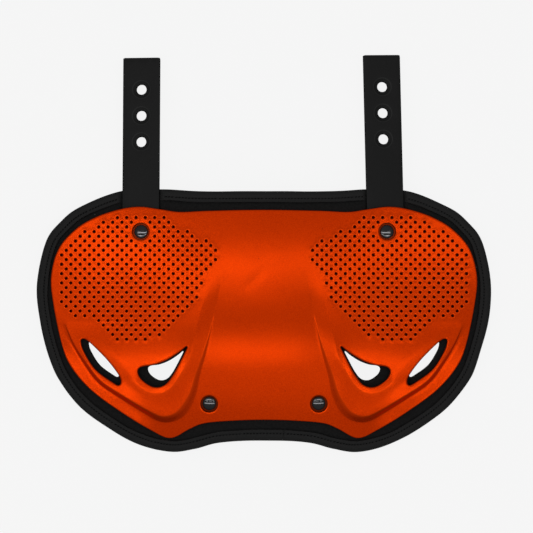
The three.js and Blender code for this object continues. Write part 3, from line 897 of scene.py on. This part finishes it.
def soft_min(a, b, round_by):
    """The smaller of two heights, with the corner between them rounded."""
    return a - ramp(a - b, round_by)


print("height left under the left strap:", round(strap_limit(*SCREWS["screw_upper_left"]), 1), "mm")

# %% Cut and press the pad
PAD_THICKNESS = 12
TONGUE_INSET = 2
STEP_INSET = 7.6
TONGUE_TOP = -1.5
TONGUE_BOTTOM = -10.3
STEP_EDGE = STEP_INSET + 0.2
PAD_WAVE = {"height": 0.12, "size": 18, "slice": 7, "inwards": (7, 12)}
# How deep the face sinks towards the sewn edge, and between which distances from the outline.
PAD_SINKS = ((0.5, 8, 15), (0.8, 8, 10.5))
PAD_CLEAR = 0.05
PRESS_ROUND = 0.6
# The cuts in the pad behind an outer and an inner vent.
PAD_VENTS = ({"scale": 0.76, "inward": 2, "up": 1.8}, {"scale": 0.72, "inward": 1.8, "up": 0.8})
pad_finder = finder(pad_outline)


def pad_vents():
    """The cuts behind the vents, smaller than these and moved a little."""
    made = []
    for number, line in enumerate(vents):
        cut = PAD_VENTS[number % 2]
        inward = cut["inward"] if number < 2 else -cut["inward"]
        middle = sum(line, Vector((0, 0))) / len(line)
        made.append([middle + Vector((inward, cut["up"])) + (p - middle) * cut["scale"] for p in line])
    return made


def from_edge(x, y):
    """Distance in from the pad's outline."""
    return pad_finder.find((x, y, 0))[2]


def pad_face(x, y):
    """Height of the pad's face, and of the tongue that the tape grips."""
    depth = from_edge(x, y)
    ripple = noise.noise((x / PAD_WAVE["size"], y / PAD_WAVE["size"], PAD_WAVE["slice"]))
    wave = PAD_WAVE["height"] * ripple * ease(depth, *PAD_WAVE["inwards"])
    sink = sum(drop * (1 - ease(depth, low, high)) for drop, low, high in PAD_SINKS)
    height = wave - sink if depth > STEP_EDGE else TONGUE_TOP
    return seat(x, y) + soft_min(height - PAD_CLEAR, strap_limit(x, y), PRESS_ROUND)


def pad_back(x, y):
    """Height of the pad's back, and of the tongue's."""
    depth = from_edge(x, y)
    return seat(x, y) + (-PAD_THICKNESS if depth > STEP_EDGE else TONGUE_BOTTOM)


PAD_RINGS = (STEP_INSET, STEP_INSET + 0.5, 9.2, 10.5, 12.5)
CUT_LIP = ((0, 0.9), (0.4, 0.3), (1.2, 0))
FLANGE_RING = 8.6
edges = [(inset(pad_outline, TONGUE_INSET), 0, 0)]
loops = [(inset(pad_outline, distance), 0, 0) for distance in PAD_RINGS]
for cut in pad_vents():
    for distance, drop in CUT_LIP:
        (loops if distance else edges).append((inset(cut, -distance), drop, 0))
edges += [(hoop(x, y, BORE, 16), 0, 0) for x, y in SCREWS.values()]
loops += [(hoop(x, y, FLANGE_RING, 32), 0, 0) for x, y in SCREWS.values()]
pad_mesh = cut_sheet(edges, loops, [], SOFT_SPACING, inset(pad_outline, PAD_RINGS[-1]))
press(pad_mesh, pad_face, pad_back)
print("pad:", len(pad_mesh.verts), "points")

# %% Black knit
pad_finish, tree, shader = start_finish(
    "black_knit",
    {"Roughness": 0.95, "Specular IOR Level": 0.08, "Sheen Weight": 0.06, "Sheen Roughness": 0.5},
)
coords = add(tree, "ShaderNodeTexCoord").outputs["Object"]
cloth = place_group(tree, cloth_group, {"Vector": coords, "Rows per metre": 700.0})
dust = place_group(tree, dust_group, {"Vector": coords, "Specks per metre": 220.0, "Share": 0.02})
colour = blend_colours(tree, cloth["Fuzz"], (0.007, 0.007, 0.007), (0.024, 0.024, 0.024))
colour = lay_over(tree, colour, dust["Specks"], (0.06, 0.06, 0.06))
tree.links.new(colour, shader.inputs["Base Color"])
raise_surface(tree, shader, cloth["Height"], 0.00025, 0.8)
pad = make_piece(pad_mesh, "knit_faced_pad", pad_finish, ["foam_pad"], 50)

# %% [markdown]
# ## The sewn tape round the edge
# A strip of tape is folded over the pad's edge and sewn down all round. A strip is a grid, so the piece
# starts as one, with its length along the edge and its width round the fold, and each point is then moved to
# its place. The stitches draw a furrow, the tape puckers between them, it waves a little, and its two ends
# overlap at a seam near the middle of the lower edge.

# %% Fold the tape
# Section of the folded tape: distance in from the outline, and height over the pad's face.
TAPE_SECTION = (
    (8.05, 0.1), (7.95, 0.55), (7.4, 0.85), (6.4, 0.8), (5.75, 0.3), (5.1, 0.3), (4.4, 0.85), (3.3, 0.95),
    (2.1, 0.6), (1, -0.4), (0.35, -2), (0, -4.2), (0, -8), (0.35, -10.1), (1.3, -11.5), (2.8, -12.2),
    (4.6, -12.4), (5.4, -12.2), (6.4, -12.4), (7.8, -12.3), (8.05, -11.7), (6, -11.2), (3, -11), (1.7, -10.2),
    (1.3, -8), (1.3, -4.2), (1.7, -1.4), (3, -0.6), (5.2, -0.45), (7.6, -0.45),
)
TAPE_STEP = 0.78
STITCH_INSET = 5.4
STITCH_PITCH = 2.4
# Waves of the tape's edges: height, length and row of the noise.
INNER_WAVES = ((0.3, 17, 2), (0.1, 6, 5))
INNER_FROM = 6.5
OUTER_WAVE = (0.4, 24, 9)
OUTER_TO = 2
FRONT_FROM = -2
FACE_WAVE = {"height": 0.16, "size": 9}
FURROW = {"depth": 0.14, "width": 0.7}
SEAM_PLACE = Vector((13.1, -86.2))
SEAM = {"rise": 0.45, "ease": (5, 12), "groove": 0.5, "groove_width": 1}
UNDER_STRAP = {"round": 0.5, "inner_drop": 0.5}
tape_line = even_line(smooth_line(mirrored(PAD_HALF), 20), TAPE_STEP)
tape_length = sum((b - a).length for a, b in zip(tape_line, tape_line[1:] + tape_line[:1]))
tape_step = tape_length / len(tape_line)
seam_station = min(range(len(tape_line)), key=lambda k: (tape_line[k] - SEAM_PLACE).length)


def on_tape(station, distance, height):
    """A point on the tape, with its waves, its puckers and the press of the straps."""
    along = station * tape_step
    spot = tape_line[station % len(tape_line)]
    away = outward(tape_line, station % len(tape_line))
    if distance > INNER_FROM:
        distance += sum(noise.noise((along / size, row, 0)) * sway for sway, size, row in INNER_WAVES)
    elif distance < OUTER_TO:
        sway, size, row = OUTER_WAVE
        distance += sway * noise.noise((along / size, row, 0))
    front = height > FRONT_FROM
    if front:
        size = FACE_WAVE["size"]
        height += FACE_WAVE["height"] * noise.noise((along / size, 0, distance / size))
        furrow = math.exp(-((distance - STITCH_INSET) / FURROW["width"]) ** 2)
        height -= FURROW["depth"] * furrow * (1 - math.cos(math.tau * along / STITCH_PITCH))
        past = (station - seam_station) % len(tape_line) * tape_step
        height += SEAM["rise"] * (1 - ease(past, *SEAM["ease"]))
        height -= SEAM["groove"] if past > tape_length - SEAM["groove_width"] else 0
    x, y = spot - away * distance
    if front:
        room = strap_limit(x, y) - (UNDER_STRAP["inner_drop"] if height < 0 else 0)
        height = soft_min(height, room, UNDER_STRAP["round"])
    return Vector((x, y, seat(x, y) + height))


TAPE_AROUND = 0.06
stations, around = len(tape_line), len(TAPE_SECTION)
tape_mesh = bmesh.new()
bmesh.ops.create_grid(tape_mesh, x_segments=stations, y_segments=around, size=0.5)
uv = tape_mesh.loops.layers.uv.new("UVMap")
for face in tape_mesh.faces:
    for loop in face.loops:
        loop[uv].uv = ((loop.vert.co.x + 0.5) * tape_length / 1000, (loop.vert.co.y + 0.5) * TAPE_AROUND)
for v in tape_mesh.verts:
    station = round((v.co.x + 0.5) * stations)
    distance, height = TAPE_SECTION[round((v.co.y + 0.5) * around) % around]
    v.co = on_tape(station % stations, distance, height)
bmesh.ops.remove_doubles(tape_mesh, verts=tape_mesh.verts[:], dist=1e-5)
bmesh.ops.recalc_face_normals(tape_mesh, faces=tape_mesh.faces[:])
print("tape length in mm:", round(tape_length))

# %% Black woven tape
tape_finish, tree, shader = start_finish(
    "black_binding_tape",
    {"Roughness": 0.8, "Specular IOR Level": 0.15, "Sheen Weight": 0.08, "Sheen Roughness": 0.4},
)
flat_coords = add(tree, "ShaderNodeTexCoord").outputs["UV"]
cloth = place_group(tree, cloth_group, {"Vector": flat_coords, "Rows per metre": 1100.0})
colour = blend_colours(tree, cloth["Fuzz"], (0.018, 0.018, 0.018), (0.036, 0.036, 0.036))
tree.links.new(colour, shader.inputs["Base Color"])
raise_surface(tree, shader, cloth["Height"], 0.00015, 0.7)
tape = make_piece(tape_mesh, "binding_tape", tape_finish, ["edge_binding"], 60)

# %% [markdown]
# ## The stitches
# At this scale a stitch is a short fat grain of thread, pulled into the furrow. Hundreds of them only need a
# few faces each: a small sphere is stretched along the seam, and all of them are joined in one mesh, on the
# face and on the back.

# %% Sew the stitches
STITCH_SIZE = (0.9, 0.36, 0.24)
STITCH_TURN = 0.3
# Height over the pad's face and lift out of the furrow, on the front and on the back.
STITCH_SIDES = ((0.35, 0.1), (-12.1, 0))
LEAST_ROOM = 1
grain_of_thread = bmesh.new()
bmesh.ops.create_uvsphere(grain_of_thread, u_segments=6, v_segments=4, radius=1)
bmesh.ops.scale(grain_of_thread, vec=STITCH_SIZE, verts=grain_of_thread.verts[:])
one_stitch = bpy.data.meshes.new("one_stitch")
grain_of_thread.to_mesh(one_stitch)
grain_of_thread.free()
stitch_mesh = bmesh.new()
stitch_count = round(tape_length / STITCH_PITCH)
for number in range(stitch_count):
    station = round((number + 0.5) * tape_length / stitch_count / tape_step) % stations
    ahead = (tape_line[(station + 1) % stations] - tape_line[station - 1]).normalized()
    turn = Matrix.Rotation(math.atan2(ahead.y, ahead.x) + STITCH_TURN, 4, "Z")
    for height, lift in STITCH_SIDES:
        middle = on_tape(station, STITCH_INSET, height)
        if height > 0 and strap_limit(middle.x, middle.y) < LEAST_ROOM:
            continue
        place = Matrix.Translation(middle + UP * lift) @ turn
        one_stitch.transform(place)
        stitch_mesh.from_mesh(one_stitch)
        one_stitch.transform(place.inverted())
bpy.data.meshes.remove(one_stitch)
print(stitch_count, "stitches on each side")

# %% Black thread
thread_finish, tree, shader = start_finish("black_thread", {"Roughness": 0.7, "Specular IOR Level": 0.05})
coords = add(tree, "ShaderNodeTexCoord").outputs["Object"]
grain = place_group(tree, grain_group, {"Vector": coords, "Grain scale": 3000.0, "Cloud scale": 200.0})
colour = blend_colours(tree, grain["Grain"], (0.001, 0.001, 0.001), (0.003, 0.003, 0.003))
tree.links.new(colour, shader.inputs["Base Color"])
raise_surface(tree, shader, grain["Grain"], 0.0001, 0.5)
stitches = make_piece(stitch_mesh, "edge_stitches", thread_finish)

# %% [markdown]
# ## The screws
# A screw is turned work, so half of its section is drawn once and spun round its axis. Its head is a low
# dome. That matters more than it seems: on dark polished metal one hardly sees the shape itself, only the
# lights as two thin lines, and their distance shows how round the dome is. Each pair of screws also goes
# into a collection of its own, so that some of the lights can shine on that pair alone.

# %% Black polished steel
screw_finish, tree, shader = start_finish("black_polished_steel", {"Metallic": 1.0})
coords = add(tree, "ShaderNodeTexCoord").outputs["Object"]
grain = place_group(tree, grain_group, {"Vector": coords, "Grain scale": 1500.0, "Cloud scale": 400.0})
colour = blend_colours(tree, grain["Clouds"], (0.036, 0.036, 0.037), (0.056, 0.056, 0.058))
tree.links.new(colour, shader.inputs["Base Color"])
tree.links.new(between(tree, grain["Grain"], 0.04, 0.08), shader.inputs["Roughness"])
raise_surface(tree, shader, grain["Grain"], 0.000005, 0.2)
print("finish of the screws:", screw_finish.name)

# %% Turn the screws
# Section of a screw from the middle of its back flange to the edge of its dome.
SCREW_SECTION = (
    (0, -11.7), (7.6, -11.7), (8, -11.3), (8, -10.5), (7.7, -10.2), (2.5, -10.2), (2.5, 1.8), (4.6, 1.8),
    (4.85, 1.95), (4.9, 2.2), (4.8, 2.35), (4.6, 2.45),
)
SCREW_SIDES = 48
DOME_TOP = 3.25
DOME_RADIUS = 17
DOME_STEPS = 8
HEAD_FROM = 1
HEAD_LEVEL = 3.6


def turn_screw(outwards):
    """A screw that stands slanting in the outwards direction, with its head moved back over its recess."""
    bm = bmesh.new()
    dome_edge = SCREW_SECTION[-1][0]
    section = list(SCREW_SECTION)
    for step in range(1, DOME_STEPS + 1):
        radius = dome_edge * (1 - step / DOME_STEPS)
        section.append((radius, DOME_TOP - radius * radius / (2 * DOME_RADIUS)))
    rim = [bm.verts.new((radius, 0, height)) for radius, height in section]
    lines = [bm.edges.new(pair) for pair in zip(rim, rim[1:])]
    bmesh.ops.spin(
        bm, geom=rim + lines, cent=(0, 0, 0), axis=UP, angle=math.tau, steps=SCREW_SIDES, use_merge=True
    )
    bmesh.ops.remove_doubles(bm, verts=bm.verts[:], dist=1e-4)
    bmesh.ops.recalc_face_normals(bm, faces=bm.faces[:])
    head = [v for v in bm.verts if v.co.z > HEAD_FROM]
    bmesh.ops.translate(bm, vec=-HEAD_LEVEL * outwards.xy.to_3d(), verts=head)
    return bm


screw_pairs = {level: bpy.data.collections.new(level + " screws") for level in ("upper", "lower")}
for node, (x, y) in SCREWS.items():
    name = node.replace("screw", "domed_screw")
    place = on_seat(x, y)
    bm = turn_screw(place.col[2])
    screw = make_piece(bm, name, screw_finish, [node], 40, TO_FRAME @ place)
    screw_pairs["upper" if y > 0 else "lower"].objects.link(screw)

# %% [markdown]
# ## The stage
# The plate lies on a pale floor that glows for the camera alone, like a light table, so that it throws no
# dark shadow and the vents show bright. Strips and panels of light hang over it. On a satin curved shell a
# strip shows as a soft bright band wherever the surface tips its reflection towards the camera, so each one
# was placed for a band. Dark steel needs far brighter strips than the shell can bear. Light linking lets
# those shine on the screws alone.

# %% Floor
FLOOR_RADIUS = 12


def flat_floor():
    """A wide pale disc under the plate."""
    bm = bmesh.new()
    bmesh.ops.create_circle(bm, cap_ends=True, radius=FLOOR_RADIUS, segments=96)
    mesh = bpy.data.meshes.new("pale_floor")
    bm.to_mesh(mesh)
    bm.free()
    floor = bpy.data.objects.new("pale_floor", mesh)
    bpy.context.scene.collection.objects.link(floor)
    finish, tree, shader = start_finish("pale_floor", {"Roughness": 1.0, "Specular IOR Level": 0.0})
    shader.inputs["Base Color"].default_value = (0.08, 0.08, 0.08, 1)
    shader.inputs["Emission Color"].default_value = (0.88, 0.88, 0.88, 1)
    seen = add(tree, "ShaderNodeLightPath").outputs["Is Camera Ray"]
    tree.links.new(seen, shader.inputs["Emission Strength"])
    mesh.materials.append(finish)


flat_floor()
print("floor:", FLOOR_RADIUS, "m round the plate")

# %% Strips and panels of light
LIGHT_HEIGHT = 4.5


def strip_light(name, start, end, width, brightness, height=LIGHT_HEIGHT, only=None):
    """A long light that hangs over the plate between two places, given in metres across and up.

    If a collection is given, the light shines on its pieces only.
    """
    along = Vector(end) - Vector(start)
    light = bpy.data.lights.new(name, "AREA")
    light.shape, light.size, light.size_y = "RECTANGLE", along.length, width
    light.energy = brightness * math.pi * along.length * width
    lamp = bpy.data.objects.new(name, light)
    lamp.location = ((Vector(start) + Vector(end)) / 2).to_3d() + UP * height
    lamp.rotation_euler.z = math.atan2(along.y, along.x)
    lamp.visible_camera = False
    lamp.light_linking.receiver_collection = only
    bpy.context.scene.collection.objects.link(lamp)


# The lights: where each starts and ends, its width in metres and its brightness.
STRIPS = {
    "left panel": ((-3.2, 0.2), (-2.1, 0.2), 1.2, 0.4),
    "upper left panel": ((-2.9, 0.88), (-1.5, 0.64), 0.7, 1.9),
    "upper left strip": ((-1.6, 0.68), (-0.4, 0.42), 0.28, 2.65),
    "upper strip": ((-0.4, 0.39), (0, 0.39), 0.28, 2.75),
    "upper right strip": ((0, 0.41), (1.5, 0.68), 0.28, 1.95),
    "upper right panel": ((1.5, 0.7), (2.9, 0.93), 0.7, 1.3),
    "top panel": ((-1.2, 1.15), (0, 1.15), 0.3, 0.25),
    "lower strip": ((-0.72, -0.98), (-0.25, -0.98), 0.36, 2.3),
    "lower middle strip": ((-0.25, -0.98), (0.52, -0.98), 0.36, 1.9),
    "lower left strip": ((-1.95, -0.62), (-1.08, -0.76), 0.3, 2.7),
    "lower right strip": ((1.08, -0.76), (1.95, -0.62), 0.3, 2.3),
    "left rim strip": ((-1.75, -1.12), (-1.1, -1.08), 0.24, 3.1),
    "right rim strip": ((1.1, -1.08), (1.75, -1.12), 0.24, 2.8),
    "low panel": ((-2, -1.75), (2, -1.75), 0.8, 0.3),
}
# Strips for one pair of screws: how far up each one lies. They hang a little lower than the other lights, so
# that none of these covers them.
SCREW_STRIPS = {"upper": (0.42, -0.8), "lower": (-1.95, -0.35)}
SCREW_STRIP = {"width": 0.4, "brightness": 5.5, "height": LIGHT_HEIGHT - 0.1}
SCREW_STRIP_REACH = 2.8
for name, strip in STRIPS.items():
    strip_light(name, *strip)
for level, places in SCREW_STRIPS.items():
    for up in places:
        ends = (-SCREW_STRIP_REACH, up), (SCREW_STRIP_REACH, up)
        strip_light(level + " screw strip", *ends, **SCREW_STRIP, only=screw_pairs[level])
print("lights:", len(bpy.data.lights))

# %% Room and camera
ROOM_GLOW = {"From Min": 0.1, "From Max": 0.85, "To Min": 0.14, "To Max": 0.42}
SENSOR_WIDTH = 36
VIEW_WIDTH = 0.38659
CAMERA_DISTANCE = 4.0
VIEW_CENTRE = Vector((0.00181, -0.00951, 0.02))
world = bpy.data.worlds.new("soft room")
bpy.context.scene.world = world
world.use_nodes = True
sky = world.node_tree
direction = add(sky, "ShaderNodeTexCoord").outputs["Generated"]
upwards = add(sky, "ShaderNodeSeparateXYZ", {0: direction}).outputs["Z"]
glow = add(sky, "ShaderNodeMapRange", {"Value": upwards, **ROOM_GLOW})
sky.links.new(glow.outputs["Result"], sky.nodes["Background"].inputs["Strength"])
sky.nodes["Background"].inputs["Color"].default_value = (1, 1, 1, 1)
camera_data = bpy.data.cameras.new("straight on")
camera_data.sensor_width = SENSOR_WIDTH
camera_data.lens = SENSOR_WIDTH * CAMERA_DISTANCE / VIEW_WIDTH
camera_data.clip_end = 50
camera = bpy.data.objects.new("straight on", camera_data)
camera.location = VIEW_CENTRE + UP * CAMERA_DISTANCE
bpy.context.scene.collection.objects.link(camera)
bpy.context.scene.camera = camera
bpy.context.scene.view_settings.view_transform = "Standard"
print("camera:", CAMERA_DISTANCE, "m above the plate")
